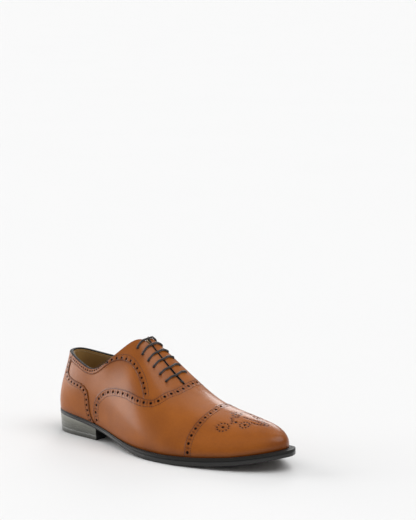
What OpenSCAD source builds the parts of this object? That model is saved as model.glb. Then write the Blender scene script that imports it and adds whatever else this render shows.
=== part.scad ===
// Right-foot cap-toe oxford shoe with a semi-brogue upper, welted sole and stacked heel.
// Millimetres. X runs from heel to toe, the outer (lateral) side is -Y, Z is up.
// The floor is z = 0. The upper is one curved wall described by stations (u) round the
// foot and a height share (t) that is 0 at the welt and 1 at the topline or the ridge.

/* [Upper] */
// Thickness of the outer leather
leather = 1.3; // [1:0.1:1.4]
// Thickness of the lining leather
lining = 1.2; // [0.8:0.1:1.2]
// Thickness of the toe puff and the heel stiffener
stiffener = 0.8; // [0.5:0.1:0.9]
// Thickness of the tongue
tongue_thick = 2; // [1.5:0.1:2.4]
// Width of the rolled binding along the topline
binding_w = 2; // [1.6:0.2:2.4]

/* [Lacing] */
// Diameter of the round lace
lace_d = 2.2; // [1.8:0.1:2.4]
// Diameter of the hole in each eyelet
eyelet_hole = 3.2; // [2.8:0.1:3.6]
// Outer diameter of each hidden eyelet ring
eyelet_d = 5.6; // [4.8:0.2:6]

/* [Sole] */
// Share of the sole edge's height that is the welt
welt_share = 0.4; // [0.35:0.01:0.45]
// Thickness of the insole
insole_thick = 1.7; // [1.5:0.1:2]
// Width of the steel shank
shank_w = 14; // [10:1:18]
// Length of the steel shank
shank_len = 95; // [80:5:100]
// Where the sole bends, measured from the heel
flex_x = 186; // [180:1:190]

/* [Heel] */
// Length of the heel at the floor
heel_len = 72; // [68:1:76]
// Thickness of the rubber top piece
top_piece_thick = 5; // [4:0.5:6]
// Thickness of each leather lift
lift_thick = 3; // [2.5:0.1:3]
// Diameter of the heel nails
nail_d = 1.8; // [1.4:0.1:2.4]

/* [Hidden] */

tan_leather = [0.65, 0.38, 0.2];
lining_tan = [0.72, 0.58, 0.4];
dark_brown = [0.16, 0.1, 0.07];
edge_black = [0.09, 0.08, 0.08];
cork = [0.7, 0.5, 0.3];
steel = [0.6, 0.6, 0.62];

// Stations from the back of the heel to the tip of the toe. Each row is the foot of the
// wall x, y, z; the compass heading that the wall faces; how far out and up its lower
// handle goes; the top of the wall x, y, z; how far out and up its upper handle goes.
lateral = [
    [4, 0, 24.5, 180, 2, 23, 10, 0, 86, 2, -19],
    [5, -15, 24.5, 215, 2, 23, 14, -10, 86, 3, -18],
    [15, -25, 24, 250, 4, 23, 27, -20, 84, 3, -17],
    [35, -29, 22.5, 268, 5, 20, 47, -25, 77, 3, -15],
    [61, -30, 19.5, 270, 5, 20, 65, -27, 72, 3, -16],
    [87, -34, 15, 270, 6, 20, 83, -27, 85, 4, -18],
    [112, -42, 11, 270, 8, 22, 100, -18, 102, 8, -14],
    [137, -50, 8.5, 270, 8, 26, 110, -5.5, 112, 14, -8],
    [161, -54, 8, 270, 7, 26, 121, 0, 103, 20, -4],
    [185, -55, 8, 272, 5, 24, 143, 0, 84, 20, -4],
    [208, -52, 9, 276, 4, 20, 171, 0, 62, 25, -5],
    [230, -46, 10.5, 290, 4, 18, 200, 0, 51, 25, -5],
    [255, -37, 13, 306, 4, 16, 228, 0, 46, 20, -4],
    [275, -25.5, 16.5, 320, 3, 15, 255, 0, 43, 20, -4],
    [292, -12.5, 20.5, 340, 2, 14, 272, 0, 40, 15, -3],
    [299, 0, 23, 360, 1, 13, 279, 0, 37, 12, 0]];
medial = [
    [4, 0, 24.5, 180, 2, 23, 10, 0, 86, 2, -19],
    [5, 16, 24.5, 145, 2, 23, 14, 10, 86, 1, -19],
    [15, 27, 24, 110, 4, 22, 27, 19, 82, 1, -18],
    [35, 31, 22.5, 92, 5, 20, 47, 24, 79, 2, -16],
    [61, 29, 19.5, 90, 6, 20, 65, 25, 78, 3, -16],
    [87, 26, 15, 90, 10, 22, 83, 24, 87, 5, -16],
    [112, 23, 11, 90, 15, 25, 100, 17, 103, 10, -12],
    [137, 26, 8.5, 90, 15, 29, 110, 5.5, 112, 18, -4],
    [161, 33, 8, 90, 13, 31, 121, 0, 103, 25, 5],
    [185, 40, 8, 90, 8, 29, 143, 0, 84, 25, 5],
    [208, 43, 9, 86, 5, 22, 171, 0, 62, 25, 5],
    [230, 41, 10.5, 74, 4, 19, 200, 0, 51, 25, 5],
    [255, 36, 13, 56, 3, 18, 228, 0, 46, 25, 5],
    [274, 25.5, 16.5, 40, 2, 17, 255, 0, 43, 20, 4],
    [290, 13.5, 20.5, 20, 1, 15, 272, 0, 40, 15, 3],
    [299, 0, 23, 0, 1, 13, 279, 0, 37, 12, 0]];
// At each station, how far the welt stands out and how tall the sole's edge is
welt_ledge = [1, 1, 1.2, 1.5, 1.5, 1.5, 2, 3.5, 5, 5, 5, 5, 5, 6, 7, 8];
edge_tall = [5, 5, 5, 5, 5, 5, 5.5, 6.5, 8, 8, 8, 8, 8, 7.5, 7, 7];

// The middle of the sole's outline, which is the origin
middle = [153.8, -6.1, 0];

toe_u = len(lateral) - 1;
loop_u = 2 * toe_u;
ridge_u = 9;
gap = 0.3;
cut = 1;

// Depths of the layers under the outer face of the upper
stiff_top = -leather - gap;
stiff_low = stiff_top - stiffener;
lining_top = -2.8;
lining_low = lining_top - lining;
tongue_top = -7.3;
tongue_low = tongue_top - tongue_thick;
// Depth of the lace's middle where it runs behind the facings
rail_d = -5.7;

// Seams as [u, t] points on the outer side, from the heel towards the toe. From its ninth
// point on, vamp_top follows the ridge, where the vamp's two halves meet.
feather_back = [[0, 0], [2, 0], [4.3, 0]];
counter_seam = [[4.3, 0], [4.15, 0.11], [4.05, 0.24], [3.95, 0.43], [3.7, 0.56], [3.2, 0.62],
    [2.6, 0.61], [1.95, 0.64], [1.65, 0.76], [1.6, 0.86], [1.6, 0.955]];
vamp_back = [[4.4, 0], [4.35, 0.24], [4.5, 0.45], [5, 0.55]];
vamp_top = [[5, 0.55], [5.7, 0.54], [6.5, 0.49], [7.6, 0.455], [8.4, 0.48], [8.9, 0.56],
    [9.3, 0.68], [9.6, 0.84], [9.8, 1], [10.3, 1], [10.8, 1], [11.24, 1]];
cap_seam = [[10.05, 0], [10.15, 0.17], [10.3, 0.3], [10.5, 0.43], [10.7, 0.56], [10.9, 0.7],
    [11.1, 0.85], [11.24, 1]];
facing_edge = [[1.6, 0.86], [2.5, 0.86], [3.2, 0.855], [4, 0.87], [4.8, 0.9], [5.3, 0.88],
    [5.8, 0.82], [6.4, 0.735], [7.1, 0.66], [7.5, 0.605], [7.85, 0.54], [8, 0.48]];
facing_top = [[1.6, 0.955], [2.8, 0.955], [4, 0.955], [5, 0.96], [6, 0.97], [7.05, 0.975],
    [7.4, 0.955], [8.2, 0.95], [9, 0.96], [9.6, 0.965]];
facing_front = [[8, 0.48], [8.4, 0.5], [8.85, 0.58], [9.2, 0.68], [9.5, 0.84], [9.6, 0.965]];
quarter_low = [[4.28, 0.08], [4.28, 0.24], [4.42, 0.46], [4.95, 0.565], [5.7, 0.555],
    [6.5, 0.507], [7.4, 0.472], [7.75, 0.47]];
quarter_back = [[4.28, 0.08], [4.12, 0.24], [4.01, 0.44], [3.75, 0.57], [3.2, 0.635],
    [2.6, 0.625], [1.98, 0.66], [1.7, 0.76], [1.65, 0.85]];
quarter_top = [[1.65, 0.85], [2.5, 0.85], [3.2, 0.845], [4, 0.86], [4.8, 0.89], [5.3, 0.87],
    [5.8, 0.81], [6.4, 0.725], [7.1, 0.65], [7.5, 0.59], [7.8, 0.52]];
quarter_front = [[7.75, 0.47], [7.8, 0.52]];

// The eyelets on each side, from the top pair to the pair at the throat
eyelets = [[7.2, 0.84], [7.7, 0.8], [8.15, 0.79], [8.5, 0.785], [8.87, 0.785], [9.2, 0.785]];

module centred() {
    translate(-middle) children();
}

// ---- The curved wall ----
function handles(table, i) =
    let (s = table[i],
        out = [cos(s[3]), sin(s[3]), 0],
        foot = [s[0], s[1], s[2]],
        top = [s[6], s[7], s[8]],
        before = table[max(i - 1, 0)],
        after = table[min(i + 1, toe_u)],
        slope = s[7] == 0 && i > 0 ? (after[8] - before[8]) / (after[6] - before[6]) : 0,
        rise = s[10] + slope * out.x * s[9])
    [foot, foot + out * s[4] + [0, 0, s[5]], top + out * s[9] + [0, 0, rise], top];
rows = [for (k = [0:loop_u - 1]) k <= toe_u ? handles(lateral, k) : handles(medial, loop_u - k)];
function row(k) = rows[(k + 2 * loop_u) % loop_u];
function section(u) =
    let (k = floor(u),
        f = u - k,
        w = [pow(1 - f, 3), 3 * pow(f, 3) - 6 * f * f + 4,
            3 * f * f - 3 * pow(f, 3) + 3 * f + 1, pow(f, 3)] / 6)
    [for (j = [0:3]) w[0] * row(k - 1)[j] + w[1] * row(k)[j] + w[2] * row(k + 1)[j]
        + w[3] * row(k + 2)[j]];
function wall(u, t) =
    let (c = section(u), q = 1 - t)
    q * q * q * c[0] + 3 * q * q * t * c[1] + 3 * q * t * t * c[2] + t * t * t * c[3];
function unit(v) = v / norm(v);
function wall_normal(u, t) =
    let (e = 0.01, low = max(t - e, 0), high = min(t + e, 1))
    unit(cross(wall(u + e, t) - wall(u - e, t), wall(u, high) - wall(u, low)));
function folded(u) = min(abs(u), loop_u - abs(u));
// A point d outside the wall; along the closed ridge both sides give the same point
function skin(u, t, d, closed = ridge_u) =
    t > 0.999 && folded(u) >= closed
    ? let (top = wall(folded(u), 1), n = wall_normal(folded(u), 0.97), flat = unit([n.x, 0, n.z]))
        [top.x, 0, top.z] + flat * d
    : wall(u, t) + wall_normal(u, t) * d;

// ---- Sheets of leather between four seams ----
function along(points, w) =
    let (n = len(points) - 1,
        k = min(floor(w * n), n - 1),
        f = w * n - k,
        a = points[max(k - 1, 0)],
        b = points[k],
        c = points[k + 1],
        d = points[min(k + 2, n)])
    b + f * (c - a) / 2 + f * f * (2 * a - 5 * b + 4 * c - d) / 2
    + f * f * f * (3 * b - a - 3 * c + d) / 2;
function last(points) = points[len(points) - 1];
function patch(low, high, back, front, w, v) =
    (1 - v) * along(low, w) + v * along(high, w)
    + (1 - w) * along(back, v) + w * along(front, v)
    - (1 - w) * (1 - v) * low[0] - w * (1 - v) * last(low)
    - (1 - w) * v * high[0] - w * v * last(high);
function two(a, b, c, d, flip) = flip ? [[a, c, b], [a, d, c]] : [[a, b, c], [a, c, d]];

// A sheet from depth outer to depth inner. sides lists the halves that are made: 0 is
// lateral, 1 medial. Halves share their top edge from column join_from on, and their
// back or front edge where join_back or join_front says so.
module sheet(low, high, back, front, n, m, outer, inner, sides = [0, 1], join_from = 1000,
    join_back = false, join_front = false, closed = ridge_u) {
    count = (n + 1) * (m + 1);
    shared = len(sides) > 1;
    function spot(h, i, j) =
        let (p = patch(low, high, back, front, i / n, j / m),
            t = max(0, min(1, j == m && i >= join_from ? 1 : p.y)))
        [h == 0 ? p.x : loop_u - p.x, t];
    function id(h, i, j, k) =
        shared && h == 1 && ((j == m && i >= join_from) || (i == 0 && join_back)
            || (i == n && join_front))
        ? id(0, i, j, k)
        : (k * 2 + h) * count + i * (m + 1) + j;
    points = [for (k = [0, 1]) for (h = [0, 1]) for (i = [0:n]) for (j = [0:m])
        let (s = spot(h, i, j)) skin(s.x, s.y, k == 0 ? outer : inner, closed)];
    faces = [for (h = sides) let (f = h == 1) each concat(
        [for (i = [0:n - 1]) for (j = [0:m - 1]) each concat(
            two(id(h, i, j, 0), id(h, i, j + 1, 0), id(h, i + 1, j + 1, 0), id(h, i + 1, j, 0), f),
            two(id(h, i, j, 1), id(h, i + 1, j, 1), id(h, i + 1, j + 1, 1), id(h, i, j + 1, 1), f))],
        [for (i = [0:n - 1])
            each two(id(h, i, 0, 0), id(h, i + 1, 0, 0), id(h, i + 1, 0, 1), id(h, i, 0, 1), f)],
        [for (i = [0:min(n, join_from) - 1])
            each two(id(h, i + 1, m, 0), id(h, i, m, 0), id(h, i, m, 1), id(h, i + 1, m, 1), f)],
        join_back ? [] : [for (j = [0:m - 1])
            each two(id(h, 0, j + 1, 0), id(h, 0, j, 0), id(h, 0, j, 1), id(h, 0, j + 1, 1), f)],
        join_front ? [] : [for (j = [0:m - 1])
            each two(id(h, n, j, 0), id(h, n, j + 1, 0), id(h, n, j + 1, 1), id(h, n, j, 1), f)])];
    polyhedron(points, faces);
}

// ---- Upper ----
module toe_cap() {
    rear = [for (p = cap_seam) p + [0.02, 0]];
    color(tan_leather) centred()
        sheet([rear[0], [12.5, 0], [15, 0]], [last(rear), [13, 1], [15, 1]], rear,
            [[15, 0], [15, 1]], 14, 10, 0, -leather, join_from = 0, join_front = true);
}

module vamp() {
    color(tan_leather) centred()
        sheet([[4.4, 0], [7, 0], [10.05, 0]], vamp_top, vamp_back, cap_seam, 22, 10, 0,
            -leather, join_from = 16);
}

module quarter(side) {
    color(tan_leather) centred()
        sheet(quarter_low, quarter_top, quarter_back, quarter_front, 16, 8, 0, -leather,
            sides = [side]);
}
module quarter_lateral() { quarter(0); }
module quarter_medial() { quarter(1); }

module eyelet_bores(side) {
    for (e = eyelets) at_eyelet(e, side)
        cylinder(h = 12, d = eyelet_hole, center = true, $fn = 24);
}

// Turns +Z to stand square out of the wall at an eyelet
module at_eyelet(e, side) {
    u = side == 0 ? e.x : loop_u - e.x;
    n = wall_normal(u, e.y);
    translate(skin(u, e.y, 0)) rotate([0, acos(n.z), atan2(n.y, n.x)]) children();
}

module facing(side) {
    color(tan_leather) centred()
        difference() {
            sheet(facing_edge, facing_top, [facing_edge[0], facing_top[0]], facing_front, 24, 8,
                0, -leather, sides = [side]);
            eyelet_bores(side);
        }
}
module facing_lateral() { facing(0); }
module facing_medial() { facing(1); }

module heel_counter() {
    color(tan_leather) centred()
        sheet(feather_back, [[0, 0.955], [1, 0.955], [1.55, 0.955]],
            [[0, 0], [0, 0.955]], [for (p = counter_seam) p - [0.05, 0]], 8, 20, 0, -leather,
            join_back = true);
}

module topline_binding() {
    turn = 7.05;
    share = binding_w / 80;
    color(dark_brown) centred()
        sheet([[-turn, 1 - share], [0, 1 - share - 0.005], [turn, 1 - share]],
            [[-turn, 1], [0, 1], [turn, 1]], [[-turn, 1 - share], [-turn, 1]],
            [[turn, 1 - share], [turn, 1]], 60, 2, 0, lining_low, sides = [0]);
}

module tongue() {
    color(tan_leather) centred()
        sheet([[7.2, 0.76], [8.5, 0.72], [10.2, 0.8]], [[7.2, 1], [8.5, 1], [10.2, 1]],
            [[7.2, 0.76], [7.2, 1]], [[10.2, 0.8], [10.2, 1]], 14, 6, tongue_top, tongue_low,
            join_from = 0, closed = 7);
}

module vamp_lining() {
    color(lining_tan) centred()
        sheet([[8.9, 0.01], [12, 0.01], [15, 0.01]], [[9.85, 1], [12, 1], [15, 1]],
            [[8.9, 0.01], [9.2, 0.25], [9.55, 0.6], [9.85, 1]], [[15, 0.01], [15, 1]], 18, 8,
            lining_top, lining_low, join_from = 0, join_front = true);
}

module quarter_lining(side) {
    color(lining_tan) centred()
        difference() {
            sheet([[0.03, 0.01], [4, 0.01], [8.8, 0.01]], concat([[0.03, 0.955]], facing_top),
                [[0.03, 0.01], [0.03, 0.955]],
                [[8.8, 0.01], [9.1, 0.25], [9.45, 0.6], [9.6, 0.965]], 26, 8, lining_top,
                lining_low, sides = [side]);
            eyelet_bores(side);
        }
}
module quarter_lining_lateral() { quarter_lining(0); }
module quarter_lining_medial() { quarter_lining(1); }

module toe_puff() {
    rear = [for (p = cap_seam) [p.x + 0.15, max(p.y, 0.01)]];
    color(lining_tan) centred()
        sheet([rear[0], [12.5, 0.01], [15, 0.01]], [last(rear), [13, 1], [15, 1]], rear,
            [[15, 0.01], [15, 1]], 12, 8, stiff_top, stiff_low, join_from = 0,
            join_front = true);
}

module heel_stiffener() {
    color(lining_tan) centred()
        sheet([[0, 0.01], [2, 0.01], [4.1, 0.01]], [[0, 0.62], [1.6, 0.62], [3.1, 0.48]],
            [[0, 0.01], [0, 0.62]], [[4.1, 0.01], [3.8, 0.3], [3.1, 0.48]], 10, 6, stiff_top,
            stiff_low, join_back = true);
}

// ---- Eyelets and lace ----
module eyelet_rings(side) {
    ring_h = 0.7;
    ring_top = stiff_top - 0.15;
    color(steel) centred()
        for (e = eyelets) at_eyelet(e, side) translate([0, 0, ring_top - ring_h])
            difference() {
                cylinder(h = ring_h, d = eyelet_d, $fn = 32);
                translate([0, 0, -cut]) cylinder(h = ring_h + 2 * cut, d = eyelet_hole, $fn = 24);
            }
}
module eyelets_lateral() { eyelet_rings(0); }
module eyelets_medial() { eyelet_rings(1); }

// The lace's route as [u, t, d] points. Bars cross outside the facings; between bars the
// lace runs up behind them on two rails; both ends are tucked inside on the medial side.
function bar(e, to_medial) =
    let (mid = (1 + e.y) / 2,
        half = [[e.x, e.y, -2], [e.x, e.y + 0.004, 0.9], [e.x + 0.04, e.y + 0.03, 1.6],
            [e.x + 0.12, mid, 1.9], [e.x + 0.2, 0.965, 2.4]],
        other = [for (i = [len(half) - 1:-1:0]) [loop_u - half[i].x, half[i].y, half[i].z]],
        whole = concat(half, other))
    to_medial ? whole : [for (i = [len(whole) - 1:-1:0]) whole[i]];
function rail(from, to, side, shift) =
    let (a = [from.x, from.y + shift], b = [to.x, to.y + shift],
        path = [[from.x, from.y, rail_d + 0.7], [a.x + (b.x - a.x) * 0.2,
            a.y + (b.y - a.y) * 0.2, rail_d], [a.x + (b.x - a.x) * 0.5,
            a.y + (b.y - a.y) * 0.5, rail_d], [a.x + (b.x - a.x) * 0.8,
            a.y + (b.y - a.y) * 0.8, rail_d], [to.x, to.y, rail_d + 0.7]])
    [for (p = path) [side == 0 ? p.x : loop_u - p.x, p.y, p.z]];
tail_upper = [[22.8, 0.84, -5], [22.85, 0.79, rail_d], [22.9, 0.7, rail_d], [22.9, 0.6, rail_d],
    [22.85, 0.5, rail_d], [22.7, 0.4, rail_d], [22.4, 0.32, rail_d], [22, 0.28, rail_d],
    [21.6, 0.26, rail_d]];
tail_lower = [[22.3, 0.8, -5], [22.3, 0.76, rail_d], [22.2, 0.68, rail_d], [22, 0.6, rail_d],
    [21.7, 0.54, rail_d], [21.4, 0.5, rail_d], [21.1, 0.48, rail_d]];
function backwards(p) = [for (i = [len(p) - 1:-1:0]) p[i]];
lace_route = concat(backwards(tail_lower), bar(eyelets[1], false),
    rail(eyelets[1], eyelets[3], 0, -0.02), bar(eyelets[3], true),
    rail(eyelets[3], eyelets[5], 1, -0.02), bar(eyelets[5], false),
    rail(eyelets[5], eyelets[4], 0, 0.02), bar(eyelets[4], true),
    rail(eyelets[4], eyelets[2], 1, 0.02), bar(eyelets[2], false),
    rail(eyelets[2], eyelets[0], 0, 0.02), bar(eyelets[0], true), tail_upper);

// A round tube along points
function turned(n, a, b) = unit(n - b * (n * b) / (b * b));
module tube(points, r, sides = 8) {
    n = len(points) - 1;
    dirs = [for (i = [0:n]) unit(points[min(i + 1, n)] - points[max(i - 1, 0)])];
    start = unit(cross(dirs[0], [0.3, 0.2, 1]));
    ups = [for (i = 0, v = start; i <= n; i = i + 1,
        v = i <= n ? turned(v, dirs[i - 1], dirs[i]) : v) v];
    rings = [for (i = [0:n]) let (a = ups[i], b = cross(dirs[i], ups[i]))
        for (k = [0:sides - 1]) points[i] + r * (cos(360 * k / sides) * a
            + sin(360 * k / sides) * b)];
    skin_faces = [for (i = [0:n - 1]) for (k = [0:sides - 1]) let (k2 = (k + 1) % sides)
        each two(i * sides + k, (i + 1) * sides + k, (i + 1) * sides + k2, i * sides + k2, false)];
    polyhedron(rings, concat(skin_faces, [[for (k = [0:sides - 1]) k]],
        [[for (k = [sides - 1:-1:0]) n * sides + k]]));
}

module lace() {
    color(dark_brown) centred() tube([for (p = lace_route) skin(p.x, p.y, p.z)], lace_d / 2);
}

// The hard tips on both ends of the lace
module aglets() {
    tip_len = 14;
    ends = [[lace_route[0], lace_route[1]], [last(lace_route), lace_route[len(lace_route) - 2]]];
    color(dark_brown) centred()
        for (pair = ends) {
            tip = skin(pair[0].x, pair[0].y, pair[0].z);
            inner = skin(pair[1].x, pair[1].y, pair[1].z);
            away = unit(tip - inner);
            translate(tip) rotate([0, acos(away.z), atan2(away.y, away.x)])
                cylinder(h = tip_len, d = lace_d - 0.2, $fn = 24);
        }
}

// ---- Sole ----
function station(values, u) =
    let (v = folded(u), k = min(floor(v), toe_u - 1), f = v - k)
    values[k] * (1 - f) + values[k + 1] * f;
// The plan outline, moved out by share of the welt's ledge and then by grow
function outline(share, grow) =
    [for (i = [0:3 * loop_u - 1])
        let (u = i / 3,
            p = wall(u, 0),
            d = wall(u + 0.1, 0) - wall(u - 0.1, 0),
            out = unit([d.y, -d.x]),
            far = share * station(welt_ledge, u) + grow)
        [p.x + out.x * far, p.y + out.y * far]];
// The side profile at offset above the foot of the wall, less a share of the sole's edge
function profile(offset, share) =
    let (inside = [for (i = [0:3 * toe_u]) let (u = i / 3, p = wall(u, 0))
        [p.x, p.z + offset - share * station(edge_tall, u)]],
        reach = 12)
    concat([inside[0] - [reach, 0]], inside, [last(inside) + [reach, 0]]);

module band(top, bottom) {
    rotate([90, 0, 0]) linear_extrude(height = 200, center = true)
        polygon(concat(top, backwards(bottom)));
}
module between_x(x0, x1) {
    translate([x0, -100, -cut]) cube([x1 - x0, 200, 60]);
}
module layer(share, grow, top, bottom) {
    intersection() {
        translate([0, 0, -cut]) linear_extrude(height = 60) polygon(outline(share, grow));
        band(top, bottom);
    }
}
module rear_part() {
    intersection() {
        children();
        between_x(-20, flex_x - gap / 2);
    }
}
module front_part() {
    intersection() {
        children();
        between_x(flex_x + gap / 2, 330);
    }
}

// How far the welt's inner edge and the filler stand inside the foot of the wall
rim = -1.8;
inside_lining = lining_low - gap;
welt_top = profile(-gap, 0);
welt_low = profile(0, welt_share);
insole_top = profile(0.7, 0);
insole_low = profile(0.7 - insole_thick, 0);
sole_low = profile(0, 1);
pad_top = profile(1.7, 0);

module whole_welt() {
    difference() {
        layer(1, 0, welt_top, welt_low);
        translate([0, 0, -cut]) linear_extrude(height = 70) polygon(outline(0, rim));
    }
}
module welt_rear() { color(edge_black) centred() rear_part() whole_welt(); }
module welt_front() { color(edge_black) centred() front_part() whole_welt(); }

module whole_outsole() { layer(1, 0, welt_low, sole_low); }
module outsole_rear() { color(edge_black) centred() rear_part() whole_outsole(); }
module outsole_front() { color(edge_black) centred() front_part() whole_outsole(); }

module whole_insole() { layer(0, inside_lining, insole_top, insole_low); }
module insole_rear() { color(lining_tan) centred() rear_part() whole_insole(); }
module insole_front() { color(lining_tan) centred() front_part() whole_insole(); }

module shank_slot() {
    translate([45, -shank_w / 2 - 2, -cut]) cube([shank_len, shank_w, 60]);
}
module whole_filler() {
    difference() {
        layer(0, rim, insole_low, welt_low);
        shank_slot();
    }
}
module cork_filler_rear() { color(cork) centred() rear_part() whole_filler(); }
module cork_filler_front() { color(cork) centred() front_part() whole_filler(); }

module shank() {
    color(steel) centred()
        intersection() {
            band(insole_low, welt_low);
            shank_slot();
        }
}

module heel_pad() {
    color(lining_tan) centred()
        intersection() {
            layer(0, inside_lining - 1.5, pad_top, insole_top);
            between_x(-20, heel_len + 18);
        }
}

// ---- Heel ----
nail_spots = [[16, 0], [28, -15], [28, 15], [50, -17], [50, 17]];
lift_1 = top_piece_thick + lift_thick;
lift_2 = lift_1 + lift_thick;
nail_top = lift_2 + 1;
module heel_block(z0, z1) {
    intersection() {
        translate([0, 0, z0]) linear_extrude(height = z1 - z0) polygon(outline(1, 0));
        between_x(-20, heel_len);
    }
}
module nails(d, z0, z1) {
    for (p = nail_spots) translate([p.x, p.y, z0]) cylinder(h = z1 - z0, d = d, $fn = 24);
}
module drilled_block(z0, z1) {
    difference() {
        heel_block(z0, z1);
        nails(nail_d, z0 - cut, z1 + cut);
    }
}
module top_piece() {
    color([0.07, 0.07, 0.07]) centred() drilled_block(0, top_piece_thick);
}
module heel_lift_lower() {
    color(edge_black) centred() drilled_block(top_piece_thick, lift_1);
}
module heel_lift_upper() {
    color(edge_black) centred() drilled_block(lift_1, lift_2);
}
module heel_wedge() {
    color(edge_black) centred()
        difference() {
            intersection() {
                heel_block(lift_2, 40);
                band(sole_low, [[-20, 0], [120, 0]]);
            }
            nails(nail_d, 0, nail_top);
        }
}
module heel_nails() {
    sunk = 1;
    color(steel) centred() nails(nail_d, sunk, nail_top);
}

toe_cap();
vamp();
quarter_lateral();
quarter_medial();
facing_lateral();
facing_medial();
heel_counter();
topline_binding();
tongue();
vamp_lining();
quarter_lining_lateral();
quarter_lining_medial();
toe_puff();
heel_stiffener();
eyelets_lateral();
eyelets_medial();
lace();
aglets();
heel_pad();
insole_rear();
insole_front();
cork_filler_rear();
cork_filler_front();
shank();
welt_rear();
welt_front();
outsole_rear();
outsole_front();
heel_wedge();
heel_lift_upper();
heel_lift_lower();
top_piece();
heel_nails();
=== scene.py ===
# Looks of the leather oxford shoe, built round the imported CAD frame. Lengths are
# millimetres until a mesh is made, then metres.
import math
import bmesh
import bpy
import numpy as np
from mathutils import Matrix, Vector
from mathutils.geometry import delaunay_2d_cdt


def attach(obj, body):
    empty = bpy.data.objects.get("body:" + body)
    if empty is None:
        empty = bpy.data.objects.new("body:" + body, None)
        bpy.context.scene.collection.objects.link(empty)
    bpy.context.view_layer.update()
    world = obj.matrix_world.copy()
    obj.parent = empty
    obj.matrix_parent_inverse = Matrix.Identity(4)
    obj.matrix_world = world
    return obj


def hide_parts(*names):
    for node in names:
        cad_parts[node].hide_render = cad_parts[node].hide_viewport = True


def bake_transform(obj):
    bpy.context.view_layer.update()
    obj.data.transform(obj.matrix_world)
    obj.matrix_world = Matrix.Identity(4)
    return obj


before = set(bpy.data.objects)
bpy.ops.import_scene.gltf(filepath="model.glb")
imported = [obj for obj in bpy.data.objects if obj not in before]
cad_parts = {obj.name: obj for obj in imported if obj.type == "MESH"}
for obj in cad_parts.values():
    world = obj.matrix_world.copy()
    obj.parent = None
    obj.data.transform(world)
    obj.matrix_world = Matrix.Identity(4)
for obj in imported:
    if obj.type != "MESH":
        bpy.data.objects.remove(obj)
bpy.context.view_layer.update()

MM = 0.001
MIDDLE = np.array([153.8, -6.1, 0.0])     # from the back of the heel to the frame's origin

# ---- camera ----
CAMERA_AT = (1.2935, -1.494, 0.5043)
CAMERA_AZIMUTH, CAMERA_ELEVATION = 39.81, 8.88
CAMERA_LENS = 136.8


def facing(azimuth, elevation):
    """The turn of what looks in from an azimuth, 0 at -Y and 90 at +X."""
    a, e = math.radians(azimuth), math.radians(elevation)
    way = Vector((math.sin(a) * math.cos(e), -math.cos(a) * math.cos(e), math.sin(e)))
    return way.to_track_quat("Z", "Y").to_euler()


def add(name, data):
    obj = bpy.data.objects.new(name, data)
    bpy.context.scene.collection.objects.link(obj)
    return obj


lens = bpy.data.cameras.new("camera")
lens.lens = CAMERA_LENS
lens.sensor_width = 36
lens.clip_end = 30
camera = add("camera", lens)
camera.rotation_euler = facing(CAMERA_AZIMUTH, CAMERA_ELEVATION)
camera.location = CAMERA_AT
bpy.context.scene.camera = camera

# ---- the curved wall of the upper ----
# Stations from the back of the heel to the tip of the toe: foot x, y, z; heading; lower
# handle out, up; top x, y, z; upper handle out, up. Millimetres and degrees.
LATERAL = [
    (4, 0, 24.5, 180, 2, 23, 10, 0, 86, 2, -19),
    (5, -15, 24.5, 215, 2, 23, 14, -10, 86, 3, -18),
    (15, -25, 24, 250, 4, 23, 27, -20, 84, 3, -17),
    (35, -29, 22.5, 268, 5, 20, 47, -25, 77, 3, -15),
    (61, -30, 19.5, 270, 5, 20, 65, -27, 72, 3, -16),
    (87, -34, 15, 270, 6, 20, 83, -27, 85, 4, -18),
    (112, -42, 11, 270, 8, 22, 100, -18, 102, 8, -14),
    (137, -50, 8.5, 270, 8, 26, 110, -5.5, 112, 14, -8),
    (161, -54, 8, 270, 7, 26, 121, 0, 103, 20, -4),
    (185, -55, 8, 272, 5, 24, 143, 0, 84, 20, -4),
    (208, -52, 9, 276, 4, 20, 171, 0, 62, 25, -5),
    (230, -46, 10.5, 290, 4, 18, 200, 0, 51, 25, -5),
    (255, -37, 13, 306, 4, 16, 228, 0, 46, 20, -4),
    (275, -25.5, 16.5, 320, 3, 15, 255, 0, 43, 20, -4),
    (292, -12.5, 20.5, 340, 2, 14, 272, 0, 40, 15, -3),
    (299, 0, 23, 360, 1, 13, 279, 0, 37, 12, 0)]
MEDIAL = [
    LATERAL[0],
    (5, 16, 24.5, 145, 2, 23, 14, 10, 86, 1, -19),
    (15, 27, 24, 110, 4, 22, 27, 19, 82, 1, -18),
    (35, 31, 22.5, 92, 5, 20, 47, 24, 79, 2, -16),
    (61, 29, 19.5, 90, 6, 20, 65, 25, 78, 3, -16),
    (87, 26, 15, 90, 10, 22, 83, 24, 87, 5, -16),
    (112, 23, 11, 90, 15, 25, 100, 17, 103, 10, -12),
    (137, 26, 8.5, 90, 15, 29, 110, 5.5, 112, 18, -4),
    (161, 33, 8, 90, 13, 31, 121, 0, 103, 25, 5),
    (185, 40, 8, 90, 8, 29, 143, 0, 84, 25, 5),
    (208, 43, 9, 86, 5, 22, 171, 0, 62, 25, 5),
    (230, 41, 10.5, 74, 4, 19, 200, 0, 51, 25, 5),
    (255, 36, 13, 56, 3, 18, 228, 0, 46, 25, 5),
    (274, 25.5, 16.5, 40, 2, 17, 255, 0, 43, 20, 4),
    (290, 13.5, 20.5, 20, 1, 15, 272, 0, 40, 15, 3),
    LATERAL[-1]]
# At each station, how far the welt stands out and how tall the sole's edge is
WELT_LEDGE = [1, 1, 1.2, 1.5, 1.5, 1.5, 2, 3.5, 5, 5, 5, 5, 5, 6, 7, 8]
EDGE_TALL = [5, 5, 5, 5, 5, 5, 5.5, 6.5, 8, 8, 8, 8, 8, 7.5, 7, 7]
TOE_U = len(LATERAL) - 1
LOOP_U = 2 * TOE_U
RIDGE_U = 9


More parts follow.
